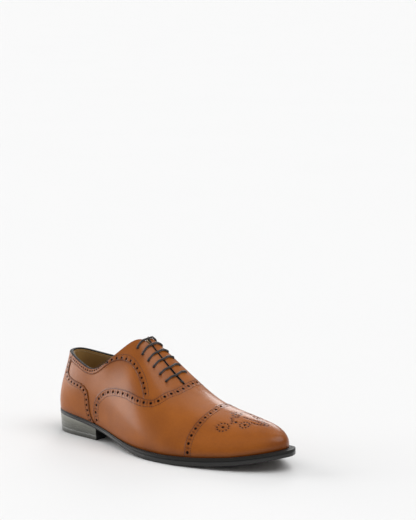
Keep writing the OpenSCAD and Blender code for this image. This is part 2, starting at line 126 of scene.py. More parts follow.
def handles(table, i):
    fx, fy, fz, heading, low_out, low_up, tx, ty, tz, top_out, top_up = table[i]
    a = math.radians(heading)
    out = np.array([math.cos(a), math.sin(a), 0])
    foot, top = np.array([fx, fy, fz], float), np.array([tx, ty, tz], float)
    before, after = table[max(i - 1, 0)], table[min(i + 1, TOE_U)]
    slope = (after[8] - before[8]) / (after[6] - before[6]) if ty == 0 and i > 0 else 0
    rise = top_up + slope * out[0] * top_out
    return [foot, foot + out * low_out + [0, 0, low_up], top + out * top_out + [0, 0, rise], top]


ROWS = np.array([handles(LATERAL, k) if k <= TOE_U else handles(MEDIAL, LOOP_U - k)
                 for k in range(LOOP_U)])


def floats(*values):
    return np.broadcast_arrays(*(np.asarray(v, float) for v in values))


def wall(u, t):
    """The point at station u and height share t: a loop of B-splines, then a Bezier curve."""
    u, t = floats(u, t)
    k = np.floor(u).astype(int)
    f = u - k
    w = np.stack([(1 - f) ** 3, 3 * f ** 3 - 6 * f ** 2 + 4,
                  3 * f ** 2 - 3 * f ** 3 + 3 * f + 1, f ** 3], -1) / 6
    near = np.stack([(k + j) % LOOP_U for j in (-1, 0, 1, 2)], -1)
    c = np.einsum("...j,...jkl->...kl", w, ROWS[near])
    t, q = t[..., None], 1 - t[..., None]
    point = (q ** 3 * c[..., 0, :] + 3 * q * q * t * c[..., 1, :]
             + 3 * q * t * t * c[..., 2, :] + t ** 3 * c[..., 3, :])
    return point - MIDDLE


def unit(v):
    return v / np.maximum(np.linalg.norm(v, axis=-1, keepdims=True), 1e-12)


def folded(u):
    return np.minimum(np.abs(u), LOOP_U - np.abs(u))


def wall_normal(u, t):
    u, t = floats(u, t)
    step = 0.01
    along = wall(u + step, t) - wall(u - step, t)
    up = wall(u, np.minimum(t + step, 1)) - wall(u, np.minimum(t, 1) - step)
    return unit(np.cross(along, up))


def ramp(x, low, high):
    """0 below low, 1 above high and a smooth step between them."""
    f = np.clip((x - low) / (high - low), 0, 1)
    return f * f * (3 - 2 * f)


# Steps in u and t of the patch that a point at the tip of the toe is averaged over
TIP_PATCH = [(0.9 * r * math.cos(k * math.pi / 4), 0.3 * r * math.sin(k * math.pi / 4))
             for r in (0.5, 1) for k in range(8)]
TIP_LIFT = 1.7          # makes up for what the averaging takes off


def tip_share(u, t):
    return ramp(folded(u), 12.5, 14.2) * ramp(t, 0.3, 0.8)


def relaxed(value, u, t):
    """value(u, t), averaged where the ridge runs out over the tip of the toe."""
    plain = value(u, t)
    share = tip_share(u, t)
    some = share > 0
    if some.any():
        total = 0.0
        for du, dt in TIP_PATCH:
            v, w = u[some] + du * share[some], t[some] + dt * share[some]
            v, w = np.where(w > 1, LOOP_U - v, v), np.where(w > 1, 2 - w, w)
            total = total + value(v, w)
        plain[some] = total / len(TIP_PATCH)
    return plain


def skin(u, t, depth=0.0, closed=RIDGE_U):
    """Points depth outside the wall. From station closed on, both sides meet on the ridge."""
    u, t, depth = floats(u, t, depth)
    n, p = unit(relaxed(wall_normal, u, t)), relaxed(wall, u, t)
    on_ridge = ((t > 0.999) & (folded(u) >= closed))[..., None]
    n = np.where(on_ridge, unit(n + relaxed(wall_normal, LOOP_U - u, np.minimum(t, 1))), n)
    pulled = on_ridge[..., 0] & (folded(u) < RIDGE_U)
    p[pulled, 1] = -MIDDLE[1]
    p[..., 2] += TIP_LIFT * tip_share(u, t)
    return p + n * depth[..., None]


# Charts turn a panel's flat coordinates (a, b) into u and t
SIDE_CHARTS = {"lateral": lambda a, b: (a, b), "medial": lambda a, b: (LOOP_U - a, b)}


def over_chart(a, b):
    """b runs from the lateral welt (0) over the ridge (1) to the medial welt (2)."""
    return np.where(b <= 1, a, LOOP_U - a), np.where(b <= 1, b, 2 - b)


def heel_chart(a, b):
    """a is 0 at the back of the heel and negative on the medial side."""
    return np.asarray(a) % LOOP_U, b


FLAT = np.array([22.0, 72.0])             # about how long one unit of a and of b is


def place(chart, ab, depth=0.0, closed=RIDGE_U):
    return skin(*chart(ab[..., 0], ab[..., 1]), depth, closed)


def normals(chart, ab):
    u, t = chart(ab[..., 0], ab[..., 1])
    return wall_normal(u, np.clip(t, 0, 1))


# ---- curves on a chart ----
CURVE_GAP = 1.2         # between the points of a cut edge or a seam


def spline(points, count=12):
    """A Catmull-Rom curve through points, count steps from each to the next."""
    p = np.array(points, float)
    n = len(p) - 1
    w = np.linspace(0, n, n * count + 1)
    k = np.minimum(w.astype(int), n - 1)
    f = (w - k)[:, None]
    a, b, c, d = p[np.maximum(k - 1, 0)], p[k], p[k + 1], p[np.minimum(k + 2, n)]
    return (b + f * (c - a) / 2 + f ** 2 * (2 * a - 5 * b + 4 * c - d) / 2
            + f ** 3 * (3 * b - a - 3 * c + d) / 2)


def lengths(points):
    return np.concatenate([[0], np.cumsum(np.linalg.norm(np.diff(points, axis=0), axis=1))])


def tangents_of(points):
    return unit(np.gradient(points, axis=0))


def at_lengths(points, s, wanted):
    return np.stack([np.interp(wanted, s, points[:, k]) for k in range(points.shape[1])], -1)


def every(points, gap, start=0.0):
    """Points exactly gap apart along a line."""
    s = lengths(points)
    return at_lengths(points, s, np.arange(start, s[-1], gap))


def respace(chart, ab, gap, start=0.0, end=0.0):
    """Points about gap apart along a curve, from start after its first point."""
    s = lengths(place(chart, ab))
    count = max(1, int(round((s[-1] - start - end) / gap)))
    return at_lengths(ab, s, np.linspace(start, s[-1] - end, count + 1))


def curve(chart, points):
    return respace(chart, spline(points), CURVE_GAP)


def chart_step(chart, ab, move):
    """The change of (a, b) that moves a point by the vector move along the wall."""
    h = 0.004
    da = (place(chart, ab + [h, 0]) - place(chart, ab - [h, 0])) / (2 * h)
    db = (place(chart, ab + [0, h]) - place(chart, ab - [0, h])) / (2 * h)
    aa, bb, cross = (da * da).sum(-1), (db * db).sum(-1), (da * db).sum(-1)
    ma, mb = (move * da).sum(-1), (move * db).sum(-1)
    det = aa * bb - cross * cross
    mirrored = np.sign((np.cross(da, db) * normals(chart, ab)).sum(-1))
    return np.stack([(ma * bb - mb * cross) / det, (mb * aa - ma * cross) / det], -1), mirrored


def shift(chart, ab, distance):
    """A curve moved sideways on the wall, to the left on the chart where distance > 0."""
    left = np.cross(normals(chart, ab), tangents_of(place(chart, ab)))
    move, mirrored = chart_step(chart, ab, left * distance)
    return ab + move * mirrored[:, None]


def turns(count):
    return np.arange(count) * 2 * np.pi / count


def circle(chart, centre, radius, count, turn=0.0):
    """count points round a circle on the wall."""
    centres = np.array([centre] * count, float)
    n = normals(chart, centres)
    e1 = unit(np.cross(n, [0.3, 0.2, 1.0]))
    e2 = np.cross(n, e1)
    angle = turns(count)[:, None] + turn * 2 * np.pi / count
    move = radius * (np.cos(angle) * e1 + np.sin(angle) * e2)
    return centres + chart_step(chart, centres, move)[0]


# ---- meshes ----
def add_mesh(name, points, faces, materials, indices=None, attributes=None, sharp=None):
    mesh = bpy.data.meshes.new(name)
    mesh.from_pydata((np.asarray(points) * MM).tolist(), [], faces)
    for m in materials:
        mesh.materials.append(m)
    if indices is not None:
        mesh.polygons.foreach_set("material_index", np.asarray(indices, np.int32))
    for key, values in (attributes or {}).items():
        mesh.attributes.new(key, "FLOAT", "POINT").data.foreach_set(
            "value", np.asarray(values, np.float32))
    mesh.polygons.foreach_set("use_smooth", [True] * len(mesh.polygons))
    obj = add(name, mesh)
    bm = bmesh.new()
    bm.from_mesh(mesh)
    bmesh.ops.remove_doubles(bm, verts=bm.verts, dist=0.004 * MM)
    bm.to_mesh(mesh)
    bm.free()
    if sharp:
        mesh.set_sharp_from_angle(angle=math.radians(sharp))
    return obj


def settle(obj, body, slot, *replaced):
    """Hangs a piece under the empty of the body it moves with, or bakes its transform in when body is
    bend, and hides the CAD parts it stands for. slot is not used.
    """
    if body == "bend":
        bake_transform(obj)
    else:
        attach(obj, body)
    if replaced:
        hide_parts(*replaced)
    return obj


def inside(points, loop):
    """Which points a closed outline holds."""
    (x, y), (x0, y0) = points.T[..., None], loop.T[:, None]
    x1, y1 = np.roll(loop, -1, 0).T[:, None]
    level = np.where(y1 == y0, 1, y1 - y0)
    crossed = ((y0 > y) != (y1 > y)) & (x < x0 + (y - y0) * (x1 - x0) / level)
    return crossed.sum(1) % 2 == 1


def nearest(points, targets):
    """The distance from each point to its nearest target."""
    best = np.full(len(points), 1e9)
    for i in range(0, len(targets), 300):
        part = targets[i:i + 300]
        best = np.minimum(best, np.linalg.norm(points[:, None] - part[None], axis=-1).min(1))
    return best


BIG_HOLE = 0.7          # holes with more radius than this have a rolled rim
HOLE_ROLL = 0.3         # how wide the rolled rim of a big hole is
GUARDS = (0.75, 1.2)    # how far from a hole's rim and from the edge the flat part begins


def hole_rings(chart, holes, wider=0.0):
    """A ring round each hole, or wider rings round just the big ones."""
    return [circle(chart, c, r + wider, 14 if r > BIG_HOLE else 8) * FLAT
            for c, r in holes if r > BIG_HOLE or not wider]


def panel(name, chart, outline, materials, top, thick, holes=(), spacing=2.6,
          zip_a=math.inf, roll=0.25, roll_width=0.45, closed=RIDGE_U):
    """A sheet of leather with round holes, from depth top to thick below it. Its edge
    rolls down over roll_width. zip_a is the a where the chart's two sides meet."""
    flat = outline * FLAT
    border = every(np.vstack([flat, flat[:1]]), 0.25)
    loops, rolls = hole_rings(chart, holes), hole_rings(chart, holes, HOLE_ROLL)
    # loops just inside the edge, and a triangular grid inside them
    ahead = np.roll(flat, -1, 0) - np.roll(flat, 1, 0)
    side = unit(np.stack([-ahead[:, 1], ahead[:, 0]], -1))
    inner = []
    for width in (roll_width, GUARDS[1]):
        ring = np.concatenate([flat + side * width, flat - side * width])
        ring = ring[inside(ring, flat)]
        inner.append(ring[nearest(ring, border) > 0.85 * width])
    inner = np.concatenate(inner + hole_rings(chart, holes, GUARDS[0]))
    inner = inner[inside(inner, flat)]
    (x0, y0), (x1, y1) = flat.min(0), flat.max(0)
    ys = np.arange(y0, y1, spacing * 0.866)
    gx, gy = np.meshgrid(np.arange(x0, x1, spacing), ys)
    gx = gx + (np.arange(len(ys)) % 2)[:, None] * spacing / 2
    grid = np.column_stack([gx.ravel(), gy.ravel()])
    if chart is over_chart:
        on_ridge = abs(grid[:, 1] - FLAT[1]) < 0.45 * spacing
        grid[:, 1] = np.where(on_ridge, FLAT[1], grid[:, 1])
    grid = grid[inside(grid, flat)]
    fixed = [flat] + loops + rolls
    grid = grid[nearest(grid, np.concatenate(fixed + [inner])) > 0.55 * spacing]
    if loops:
        inner = inner[nearest(inner, np.concatenate(loops + rolls)) > 0.4]
    edges, total = [], 0
    for loop in fixed:
        n = len(loop)
        edges += [(total + i, total + (i + 1) % n) for i in range(n)]
        total += n
    cloud = np.concatenate(fixed + [inner, grid])
    verts, _, tris, *_ = delaunay_2d_cdt([Vector(p) for p in cloud], edges, [], 0, 1e-5)
    verts, tris = np.array([tuple(v) for v in verts]), np.array(tris)
    centres = verts[tris].mean(1)
    keep = inside(centres, flat)
    for loop in loops:
        keep &= ~inside(centres, loop)
    tris = tris[keep]
    used, tris = np.unique(tris, return_inverse=True)
    verts, tris = verts[used], tris.reshape(-1, 3)
    ab, count = verts / FLAT, len(used)
    rim = nearest(verts, border[border[:, 0] < (zip_a - 0.001) * FLAT[0]])
    hole_rim = nearest(verts, np.concatenate(loops)) if loops else np.full(count, 99.0)
    drop = np.maximum(roll * np.clip(1 - rim / roll_width, 0, 1) ** 2,
                      0.15 * np.clip(1 - hole_rim / HOLE_ROLL, 0, 1))
    base = place(chart, ab, 0.0, closed)
    ways = place(chart, ab, 1.0, closed) - base
    upper = base + ways * (top - drop)[:, None]
    lower = base + ways * (top - thick)
    a, b, c = (upper[tris[:, k]] for k in range(3))
    flip = (np.cross(b - a, c - a) * normals(chart, ab)[tris[:, 0]]).sum(-1) < 0
    tris[flip] = tris[flip][:, ::-1]
    owned = {e for i, j, k in tris.tolist() for e in ((i, j), (j, k), (k, i))}
    rims = sorted((i, j) for i, j in owned
                  if (j, i) not in owned and min(ab[i, 0], ab[j, 0]) <= zip_a - 1e-4)
    faces = tris.tolist() + (tris[:, ::-1] + count).tolist()
    faces += [[j, i, i + count, j + count] for i, j in rims]
    indices = [0] * len(tris) + [1] * (len(tris) + len(rims))
    u, t = chart(ab[:, 0], ab[:, 1])
    # painted shade: low darkens the leather towards the welt and over the lower part of the toe
    toe = ramp(folded(u), 12.0, 14.6) * ramp(t, 0.75, 0.15)
    # near_edge: burnish and painted shade, darker near the cut edges and round the holes
    values = {"near_edge": np.exp(-np.minimum(rim, hole_rim * 1.5) / 1.5),
              "low": np.clip(0.5 * ramp(t, 0.14, 0) + toe, 0, 1)}
    values = {key: np.tile(v, 2) for key, v in values.items()}
    return add_mesh(name, np.concatenate([upper, lower]), faces, materials, indices, values, 50)


def bands(n, m, joined_up=False):
    """The faces between n rings of m points, and back to the first if joined_up."""
    return [[i * m + k, i * m + (k + 1) % m, (i + 1) % n * m + (k + 1) % m, (i + 1) % n * m + k]
            for i in range(n if joined_up else n - 1) for k in range(m)]


def sweep(name, rings, material, joined_up=False, sharp=None):
    """A skin over rings of points, with flat ends unless it is joined up."""
    n, m = len(rings), len(rings[0])
    faces = bands(n, m, joined_up)
    if not joined_up:
        faces += [list(range(m))[::-1], [(n - 1) * m + k for k in range(m)]]
    return add_mesh(name, np.concatenate(rings), faces, [material], sharp=sharp)


# ---- materials ----
class Paint:
    """A procedural material. Texture sizes are in millimetres."""

    def __init__(self, name, **constants):
        self.material = bpy.data.materials.new(name)
        self.material.use_nodes = True
        self.tree = self.material.node_tree
        self.shader = self.tree.nodes["Principled BSDF"]
        self.place = self.tree.nodes.new("ShaderNodeTexCoord").outputs["Object"]
        for key, value in constants.items():
            self.shader.inputs[key.replace("_", " ")].default_value = value

    def node(self, kind, output, inputs, **settings):
        made = self.tree.nodes.new("ShaderNode" + kind)
        for key, value in settings.items():
            setattr(made, key, value)
        for key, value in inputs.items():
            if isinstance(value, bpy.types.NodeSocket):
                self.tree.links.new(value, made.inputs[key])
            else:
                made.inputs[key].default_value = value
        return made.outputs[output]

    def stretched(self, x, y, z):
        return self.node("Mapping", "Vector", {"Vector": self.place, "Scale": (x, y, z)})

    def noise(self, size, detail=3.0, vector=None):
        return self.node("TexNoise", "Fac", {
            "Vector": vector or self.place, "Scale": 1 / (size * MM), "Detail": detail})

    def cells(self, size):
        return self.node("TexVoronoi", "Distance", {
            "Vector": self.place, "Scale": 1 / (size * MM)})

    def span(self, value, low, high):
        """0 where value is low or less, 1 where it is high or more."""
        return self.node("MapRange", "Result", {
            "Value": value, "From Min": low, "From Max": high})

    def sum(self, a, b, share=1.0):
        """a plus share times b."""
        return self.node("Math", "Value", {0: b, 1: share, 2: a}, operation="MULTIPLY_ADD")

    def attribute(self, name):
        return self.node("Attribute", "Fac", {}, attribute_name=name)

    def mix(self, share, a, b):
        a, b = (colour(*v) if isinstance(v, tuple) else v for v in (a, b))
        return self.node("Mix", 2, {0: share, 6: a, 7: b}, data_type="RGBA")

    def set(self, key, value):
        self.tree.links.new(value, self.shader.inputs[key])

    def bump(self, height, depth):
        """Relief depth millimetres tall where height goes from 0 to 1."""
        self.set("Normal", self.node("Bump", "Normal", {
            "Height": height, "Strength": 1.0, "Distance": depth * MM}))


def colour(r, g, b):
    return (r, g, b, 1.0)


def calf(name, base, deep, rough, coat, grain=0.05, burnish_and_shade=0.6):
    """Smooth leather: fine pores and creases, cloudy colour, edges darkened by burnish and painted
    shade, and painted shade darkening it towards the bottom.
    """
    p = Paint(name, Coat_Weight=coat, Coat_Roughness=0.24, Coat_IOR=1.45, Specular_IOR_Level=0.12)
    clouds = p.span(p.noise(34, 2), 0.35, 0.7)
    specks = p.span(p.noise(2.2, 4), 0.35, 0.75)
    # burnish and painted shade: darker along the cut edges and round the punched holes
    edge = p.node("Math", "Value", {0: p.attribute("near_edge"), 1: 1.6}, operation="POWER")
    shade = p.sum(p.sum(p.sum(0.0, clouds, 0.3), specks, 0.12), edge, burnish_and_shade)
    # painted shade: darker where low is high, near the welt, over the lower toe and lower down on the
    # sole pieces
    shade = p.sum(shade, p.attribute("low"), 0.5)
    p.set("Base Color", p.mix(p.span(shade, 0, 1), base, deep))
    p.set("Roughness", p.sum(rough - 0.05, p.noise(5, 3), 0.1))
    pores = p.span(p.cells(0.55), 0.0, 0.5)
    p.bump(p.sum(p.sum(0.0, pores, 0.5), p.noise(0.8, 4), 0.6), grain)
    return p.material


def waxed(name, base, rough, coat, size, depth, flow=(1, 1, 1), deep=None):
    """Finished leather edges, with lines where flow stretches the texture. Where deep is given, painted
    shade darkens it towards the floor.
    """
    p = Paint(name, Coat_Weight=coat, Coat_Roughness=0.25, Specular_IOR_Level=0.3)
    grain = p.noise(size, 4, p.stretched(*flow))
    worn = p.span(p.noise(9, 4), 0.55, 0.8)
    shade = p.mix(p.sum(0.0, worn, 0.35), base, tuple(1.3 * c + 0.01 for c in base))
    # painted shade: towards deep where the low attribute is high
    if deep:
        shade = p.mix(p.attribute("low"), shade, deep)
    p.set("Base Color", shade)
    p.set("Roughness", p.sum(rough - 0.08, grain, 0.16))
    p.bump(grain, depth)
    return p.material


def matt(name, base, deep, rough, size, depth, sheen=0.0):
    """Dull stuff with grains of one size: thread, board, rubber or cork."""
    p = Paint(name, Sheen_Weight=sheen, Sheen_Roughness=0.5, Specular_IOR_Level=0.3)
    grains = p.noise(size, 5)
    p.set("Base Color", p.mix(p.span(grains, 0.35, 0.65), base, deep))
    p.set("Roughness", p.sum(rough - 0.05, grains, 0.1))
    p.bump(p.sum(grains, p.cells(size * 0.7), 0.4), depth)
    return p.material


def metal(name, base, rough):
    p = Paint(name, Metallic=1.0)
    scratches = p.noise(0.6, 4, p.stretched(0.15, 1, 1))
    worn = tuple(0.75 * c for c in base)
    p.set("Base Color", p.mix(p.span(p.noise(6, 3), 0.3, 0.7), base, worn))
    p.set("Roughness", p.sum(rough, scratches, 0.15))
    p.bump(scratches, 0.02)
    return p.material


TAN = calf("tan_calf", (0.36, 0.098, 0.005), (0.12, 0.024, 0.001), 0.45, 0.45)
CUT_EDGE = matt("cut_edge", (0.09, 0.035, 0.015), (0.05, 0.02, 0.01), 0.7, 0.4, 0.05)
# near-black as painted shade seen through the punched holes
SHADE_BACKING = matt("backing_painted_shade", (0.018, 0.009, 0.006), (0.01, 0.006, 0.004), 0.9, 0.5, 0.08)
LINING = calf("lining_calf", (0.4, 0.24, 0.085), (0.24, 0.13, 0.045), 0.55, 0.05, 0.07, 0.35)
BINDING = waxed("binding_leather", (0.012, 0.011, 0.01), 0.6, 0.02, 0.6, 0.05)
# brown thread, darkened further as painted shade of its stitch grooves
THREAD = matt("thread_brown_painted_shade", (0.05, 0.016, 0.006), (0.025, 0.008, 0.004), 0.65, 0.25, 0.04, 0.1)
PALE_THREAD = matt("thread_pale", (0.5, 0.36, 0.2), (0.35, 0.24, 0.12), 0.65, 0.25, 0.04, 0.2)
BLACK_THREAD = matt("thread_black", (0.014, 0.012, 0.011), (0.03, 0.026, 0.024), 0.6, 0.25, 0.04, 0.2)
LACE = matt("waxed_lace", (0.028, 0.017, 0.014), (0.012, 0.008, 0.007), 0.5, 0.3, 0.05, 0.25)
WELT = waxed("welt_black", (0.008, 0.007, 0.006), 0.55, 0.05, 0.7, 0.04)
SOLE = waxed("sole_edge", (0.015, 0.0145, 0.014), 0.38, 0.3, 0.5, 0.05, (0.2, 0.2, 2))
SOLE_FACE = waxed("sole_face", (0.05, 0.03, 0.018), 0.55, 0.05, 1.2, 0.08)
# the heel's light grey is painted sheen standing for its satin reflection, and its deep colour is
# painted shade towards the floor
HEEL = waxed("heel_stack_painted_sheen", (0.25, 0.25, 0.205), 0.4, 0.5, 0.5, 0.008, (0.2, 0.2, 2), (0.06, 0.06, 0.052))
RUBBER = matt("top_piece_rubber", (0.014, 0.014, 0.014), (0.022, 0.022, 0.021), 0.7, 0.5, 0.08)
INSOLE = calf("insole_leather", (0.42, 0.25, 0.1), (0.28, 0.15, 0.06), 0.6, 0.0, 0.07, 0.3)
CORK = matt("cork_grain", (0.45, 0.28, 0.14), (0.2, 0.11, 0.05), 0.85, 1.6, 0.3)
BOARD = matt("board", (0.5, 0.4, 0.27), (0.4, 0.3, 0.2), 0.85, 0.6, 0.06)
STEEL = metal("shank_steel", (0.55, 0.56, 0.58), 0.35)
BRASS = metal("nail_brass", (0.7, 0.5, 0.2), 0.35)
RING_METAL = metal("ring_metal", (0.5, 0.45, 0.38), 0.4)
TIP_PLASTIC = waxed("aglet_plastic", (0.02, 0.014, 0.012), 0.25, 0.5, 0.8, 0.01)


# ---- seams of the upper ----
# (a, b) points from the heel towards the toe, or from the welt up to the ridge
LOW = -0.008
VAMP_EDGE = [(4.38, LOW), (4.36, 0.06), (4.33, 0.24), (4.48, 0.46), (5, 0.557), (5.67, 0.537),
             (6.52, 0.485), (7.62, 0.45), (8.42, 0.478), (8.87, 0.55), (9.5, 0.758),
             (9.72, 0.9), (9.8, 1)]
CAP_SEAM = [(10.05, LOW), (10.15, 0.17), (10.3, 0.3), (10.5, 0.43), (10.7, 0.56), (10.9, 0.7),
            (11.1, 0.85), (11.2, 0.93), (11.24, 1)]
COUNTER_EDGE = [(4.3, LOW), (4.15, 0.113), (4.07, 0.24), (3.95, 0.427), (3.7, 0.565),
                (3.25, 0.615), (2.63, 0.6), (2.07, 0.63), (1.87, 0.743), (1.87, 0.86),
                (1.9, 0.983)]
FACING_EDGE = [(1.88, 0.862), (2.5, 0.857), (3.2, 0.853), (4, 0.873), (4.8, 0.905), (5.3, 0.885),
               (5.82, 0.818), (6.38, 0.735), (7.08, 0.657), (7.52, 0.605), (7.85, 0.542),
               (8.03, 0.463)]
FACING_STITCH = [(5.4, 0.965), (6.15, 0.84), (6.85, 0.75), (7.55, 0.69), (7.95, 0.65),
                 (8.25, 0.59), (8.38, 0.5)]
TOPLINE_B = 0.983
SLIT_EDGE_LINE = [(7.05, 0.985), (7.3, 0.997), (8.1, 0.997), (8.8, 0.99), (9.3, 0.986),
                  (9.74, 0.985)]
EYELETS = [(7.2, 0.84), (7.7, 0.8), (8.15, 0.79), (8.5, 0.785), (8.87, 0.785), (9.2, 0.785)]

UNDERLAP = 1.9          # how far a lower layer reaches under an upper one
EDGE_ROW = 1.0          # from a cut edge to its row of stitches
# From a cut edge to its punched holes and to its second row of stitches
VAMP_ROWS, CAP_ROWS, COUNTER_ROWS, COLLAR_ROWS = (4.3, 8.2), (3.7, 7.2), (3.2, 5.6), (3.6, 6.2)
FACING_ROW = 2.9        # from the facing's edge to its punched holes
# Punched holes: pitch, radius, gaps at the row's two ends, radius of the small pairs
VAMP_HOLES = (8.2, 1.45, 5, 5, 0.3)
CAP_HOLES = (8.4, 1.45, 6, 6, 0.3)
COUNTER_HOLES = (5.3, 1.15, 5, 4)
FACING_HOLES = (6.2, 1.2, 0, 3)
COLLAR_HOLES = (3.6, 0.85, 1.5, 0)
PAIR_APART = 0.85       # from the middle of the row to each small hole of a pair
EYELET_RADIUS, BORE_RADIUS = 1.35, 1.6  # through the facing, and through the lining
# How far each layer's outer face is outside the wall, and how thick it is
CAP_OUT, COUNTER_OUT, VAMP_OUT, FACING_OUT, QUARTER_OUT = 1.0, 0.9, 0.5, 0.5, 0.0
SKIVED = 0.45           # how thick an overlay is
QUARTER_THICK = 1.1
BACK_TOP, BACK_THICK = -1.2, 0.3
LINING_TOP, LINING_THICK = -2.8, 1.2
LINING_SEAM_B = 0.945   # the seam of pale thread inside the topline
TOE_ZIP_POINTS = 23     # from the welt to the ridge at the tip of the toe


def closed_outline(chart, *parts):
    """An outline from parts that follow each other: curves, or lists of their points."""
    return np.concatenate([(curve(chart, p) if isinstance(p, list) else p)[:-1] for p in parts])


def over_both(points):
    """A seam from the lateral welt over the ridge to the medial welt."""
    half = curve(over_chart, points)
    return np.concatenate([half, (half * [1, -1] + [0, 2])[::-1][1:]])


def toe_zip(low=LOW):
    """A panel's front end at the tip of the toe, with the same points on both halves."""
    b = np.linspace(2 - low, 1, TOE_ZIP_POINTS)
    b = np.concatenate([b, 2 - b[::-1][1:]])
    return np.stack([np.full(len(b), float(TOE_U)), b], -1)


def cut_off(ab, low, high):
    """The part of a curve between two values of a."""
    return ab[(ab[:, 0] >= low) & (ab[:, 0] <= high)]


vamp_edge, cap_seam = over_both(VAMP_EDGE), over_both(CAP_SEAM)


def row_of_holes(chart, ab, gap, radius, start, end, small=0.0):
    """Big holes along a curve, with a pair of small ones between each two."""
    big = respace(chart, ab, gap, start, end)
    holes = [(p, radius) for p in big]
    if small:
        for side in (-PAIR_APART, PAIR_APART):
            line = shift(chart, big, side)
            holes += [((p + q) / 2, small) for p, q in zip(line[:-1], line[1:])]
    return holes


def medallion():
    """The punched rosettes and chains of the toe cap."""
    big, petal, dot = 1.4, 0.8, 0.68
    side = [((12.22, 0.78), big)]
    for centre, radius, count in (((11.73, 0.6), 6.0, 11), ((12.61, 0.77), 5.0, 10)):
        side.append((centre, big))
        side += [(p, petal) for p in circle(over_chart, centre, radius, count, 0.25)]
    for chain in ([(12.04, 0.72), (12.07, 0.78), (12.02, 0.85)],
                  [(12.95, 0.89), (13.2, 0.88), (13.5, 0.9), (13.95, 0.95)]):
        side += [(p, dot) for p in respace(over_chart, spline(chain), 3.7)]
    middle = [((12.17, 1.0), 1.0)]
    middle += [(p, dot) for p in circle(over_chart, (12.17, 1.0), 4.6, 8, 0.5)]
    middle += [(p, dot) for p in respace(over_chart, spline([(12.6, 1.0), (13.7, 1.0)]), 3.8)]
    return middle + side + [((c[0], 2 - c[1]), r) for c, r in side]


# ---- stitches ----
def capsule():
    """A stitch of unit size: three rings of six points along x, and a point at each end."""
    points = [(x, r * math.cos(k * math.pi / 3), r * math.sin(k * math.pi / 3))
              for x, r in ((-0.4, 0.75), (0, 1.0), (0.4, 0.75)) for k in range(6)]
    points = [(-0.5, 0, 0)] + points + [(0.5, 0, 0)]
    faces = [(0, 1 + (k + 1) % 6, 1 + k) for k in range(6)]
    for ring in (1, 7):
        faces += [(ring + k, ring + (k + 1) % 6, ring + 6 + (k + 1) % 6, ring + 6 + k)
                  for k in range(6)]
    return np.array(points), faces + [(19, 13 + k, 13 + (k + 1) % 6) for k in range(6)]


CAPSULE_POINTS, CAPSULE_FACES = capsule()
STITCH_PITCH, STITCH_LENGTH, STITCH_RADIUS = 2.25, 1.9, 0.27
STITCH_FLATNESS = 0.8           # its height as a share of its width


def beads(name, centres, tangents, ups, length, radius, material):
    """Capsules of one size, each with its own place and direction."""
    sides = unit(np.cross(ups, tangents))
    ups = np.cross(tangents, sides)
    axes = (length * tangents, radius * sides, radius * STITCH_FLATNESS * ups)
    points = centres[:, None] + sum(CAPSULE_POINTS[None, :, k:k + 1] * axis[:, None]
                                    for k, axis in enumerate(axes))
    faces = [[i * len(CAPSULE_POINTS) + v for v in face]
             for i in range(len(centres)) for face in CAPSULE_FACES]
    return add_mesh(name, points.reshape(-1, 3), faces, [material])


def stitches(name, chart, rows, depth, material):
    """Rows of stitches along curves."""
    found = []
    for ab in rows:
        s = respace(chart, ab, STITCH_PITCH, STITCH_PITCH / 2, STITCH_PITCH / 2)
        p = place(chart, s, depth)
        found.append((p, tangents_of(p), normals(chart, s)))
    return beads(name, *(np.concatenate(v) for v in zip(*found)), STITCH_LENGTH, STITCH_RADIUS,
                 material)


# ---- front of the upper ----
def overlay(name, body, chart, outline, out, holes, rows, **more):
    """A punched piece of the upper, with rows of stitches."""
    settle(panel(name, chart, outline, [TAN, CUT_EDGE], out, SKIVED, holes, **more), body,
           "tan_leather", name)
    settle(stitches(name + "_stitches", chart, rows, out, THREAD), body, "tan_leather")


def beside(chart, edge, rows, holes, trim, sign=-1):
    """The punched holes and the two rows of stitches beside a cut edge."""
    return (row_of_holes(chart, shift(chart, edge, sign * rows[0]), *holes),
            [shift(chart, edge, sign * d)[trim:-trim] for d in (EDGE_ROW, rows[1])])


def make_backing(name, body, chart, outline, **more):
    """The thin layer behind the punched holes, near-black as painted shade showing through them."""
    settle(panel(name, chart, outline, [SHADE_BACKING] * 2, BACK_TOP, BACK_THICK, spacing=4, roll=0,
                 **more), body, "tan_leather")


def make_lining(name, body, chart, outline, **more):
    settle(panel(name, chart, outline, [LINING] * 2, LINING_TOP, LINING_THICK, spacing=3.4,
                 **more), body, "lining_leather", name)


def make_vamp():
    feather_medial = curve(over_chart, [(4.38, 2 - LOW), (10.12, 2 - LOW)])
    feather_lateral = curve(over_chart, [(10.12, LOW), (4.38, LOW)])
    front = over_both([(a + UNDERLAP / FLAT[0], b) for a, b in CAP_SEAM])[::-1]
    front[0], front[-1] = feather_medial[-1], feather_lateral[0]
    outline = closed_outline(over_chart, vamp_edge, feather_medial, front, feather_lateral)
    overlay("vamp", "bend", over_chart, outline, VAMP_OUT,
            *beside(over_chart, vamp_edge, VAMP_ROWS, VAMP_HOLES, 2))


def make_toe_cap():
    outline = closed_outline(over_chart, cap_seam, [(10.05, 2 - LOW), (TOE_U, 2 - LOW)],
                             toe_zip(), [(TOE_U, LOW), (10.05, LOW)])
    holes, rows = beside(over_chart, cap_seam, CAP_ROWS, CAP_HOLES, 2)
    overlay("toe_cap", "forefoot", over_chart, outline, CAP_OUT, holes + medallion(), rows,
            zip_a=TOE_U)


